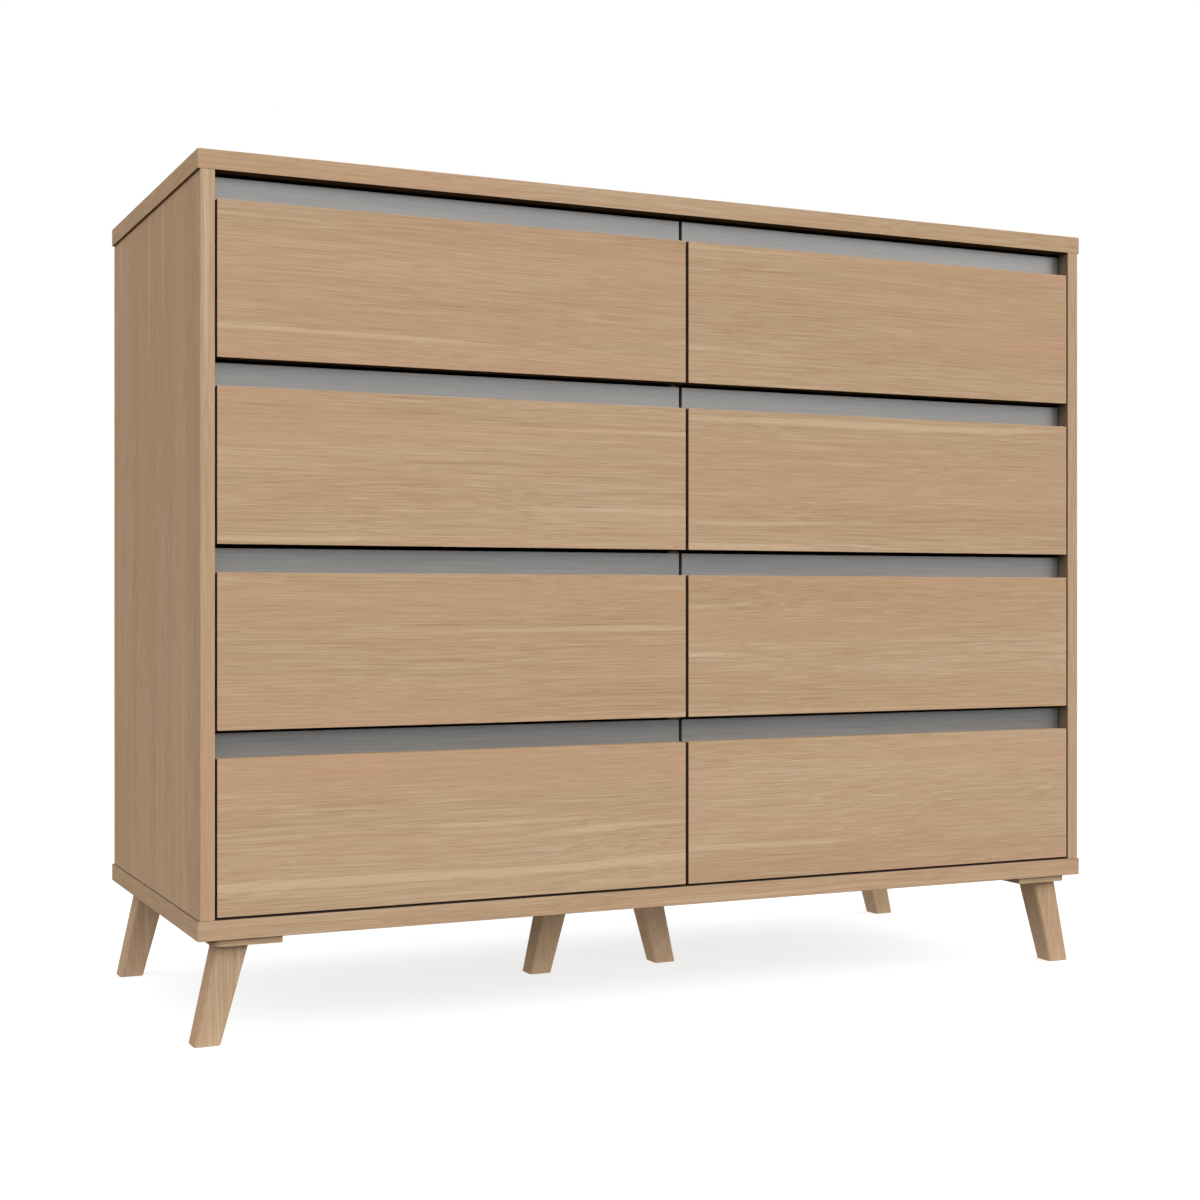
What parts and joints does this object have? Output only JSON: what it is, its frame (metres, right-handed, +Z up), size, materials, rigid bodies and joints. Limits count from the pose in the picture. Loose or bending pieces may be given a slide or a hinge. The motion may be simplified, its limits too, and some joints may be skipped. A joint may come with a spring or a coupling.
{
  "type": "dresser with drawers",
  "caption": "Wide dresser with side-by-side columns of handle-less sliding drawers, inset wood-grain fronts, recessed grey finger gaps and short splayed legs.",
  "frame": {"origin": "on the floor, under the middle of the carcass", "axes": "+Z up, +X to the right of someone facing the drawers, +Y from the fronts to the back, so the drawers open towards -Y"},
  "size_m": [1.2, 0.5, 0.984],
  "materials": {
    "oak_decor": "satin",
    "oak_leg": "satin",
    "grey_foil": "satin",
    "box_foil": "matte",
    "hardboard": "matte",
    "strip_plastic": "matte",
    "runner_steel": "brushed",
    "screw_steel": "brushed",
    "cap_plastic": "matte"
  },
  "bodies": {
    "carcass": {"top_panel": "oak_decor", "base_panel": "oak_decor", "left_side_panel": "oak_decor", "right_side_panel": "oak_decor", "centre_divider": "oak_decor", "left_back_leaf": "hardboard", "right_back_leaf": "hardboard", "back_joint_strip": "strip_plastic", "front_left_leg": "oak_leg", "front_left_leg_plate": "oak_leg", "front_right_leg": "oak_leg", "front_right_leg_plate": "oak_leg", "rear_left_leg": "oak_leg", "rear_left_leg_plate": "oak_leg", "rear_right_leg": "oak_leg", "rear_right_leg_plate": "oak_leg", "centre_left_leg": "oak_leg", "centre_left_leg_plate": "oak_leg", "centre_right_leg": "oak_leg", "centre_right_leg_plate": "oak_leg"},
    "bottom_left_drawer": {"bottom_left_front": "oak_decor", "bottom_left_inner_front": "grey_foil", "bottom_left_drawer_walls": "box_foil", "bottom_left_drawer_bottom": "hardboard"},
    "bottom_right_drawer": {"bottom_right_front": "oak_decor", "bottom_right_inner_front": "grey_foil", "bottom_right_drawer_walls": "box_foil", "bottom_right_drawer_bottom": "hardboard"},
    "lower_left_drawer": {"lower_left_front": "oak_decor", "lower_left_inner_front": "grey_foil", "lower_left_drawer_walls": "box_foil", "lower_left_drawer_bottom": "hardboard"},
    "lower_right_drawer": {"lower_right_front": "oak_decor", "lower_right_inner_front": "grey_foil", "lower_right_drawer_walls": "box_foil", "lower_right_drawer_bottom": "hardboard"},
    "upper_left_drawer": {"upper_left_front": "oak_decor", "upper_left_inner_front": "grey_foil", "upper_left_drawer_walls": "box_foil", "upper_left_drawer_bottom": "hardboard"},
    "upper_right_drawer": {"upper_right_front": "oak_decor", "upper_right_inner_front": "grey_foil", "upper_right_drawer_walls": "box_foil", "upper_right_drawer_bottom": "hardboard"},
    "top_left_drawer": {"top_left_front": "oak_decor", "top_left_inner_front": "grey_foil", "top_left_drawer_walls": "box_foil", "top_left_drawer_bottom": "hardboard"},
    "top_right_drawer": {"top_right_front": "oak_decor", "top_right_inner_front": "grey_foil", "top_right_drawer_walls": "box_foil", "top_right_drawer_bottom": "hardboard"}
  },
  "joints": [
    {"name": "bottom_left_drawer_slide", "type": "slide", "parent": "carcass", "child": "bottom_left_drawer", "axis": [0, -1, 0], "range_m": [0, 0.3]},
    {"name": "bottom_right_drawer_slide", "type": "slide", "parent": "carcass", "child": "bottom_right_drawer", "axis": [0, -1, 0], "range_m": [0, 0.3]},
    {"name": "lower_left_drawer_slide", "type": "slide", "parent": "carcass", "child": "lower_left_drawer", "axis": [0, -1, 0], "range_m": [0, 0.3]},
    {"name": "lower_right_drawer_slide", "type": "slide", "parent": "carcass", "child": "lower_right_drawer", "axis": [0, -1, 0], "range_m": [0, 0.3]},
    {"name": "upper_left_drawer_slide", "type": "slide", "parent": "carcass", "child": "upper_left_drawer", "axis": [0, -1, 0], "range_m": [0, 0.3]},
    {"name": "upper_right_drawer_slide", "type": "slide", "parent": "carcass", "child": "upper_right_drawer", "axis": [0, -1, 0], "range_m": [0, 0.3]},
    {"name": "top_left_drawer_slide", "type": "slide", "parent": "carcass", "child": "top_left_drawer", "axis": [0, -1, 0], "range_m": [0, 0.3]},
    {"name": "top_right_drawer_slide", "type": "slide", "parent": "carcass", "child": "top_right_drawer", "axis": [0, -1, 0], "range_m": [0, 0.3]}
  ]
}
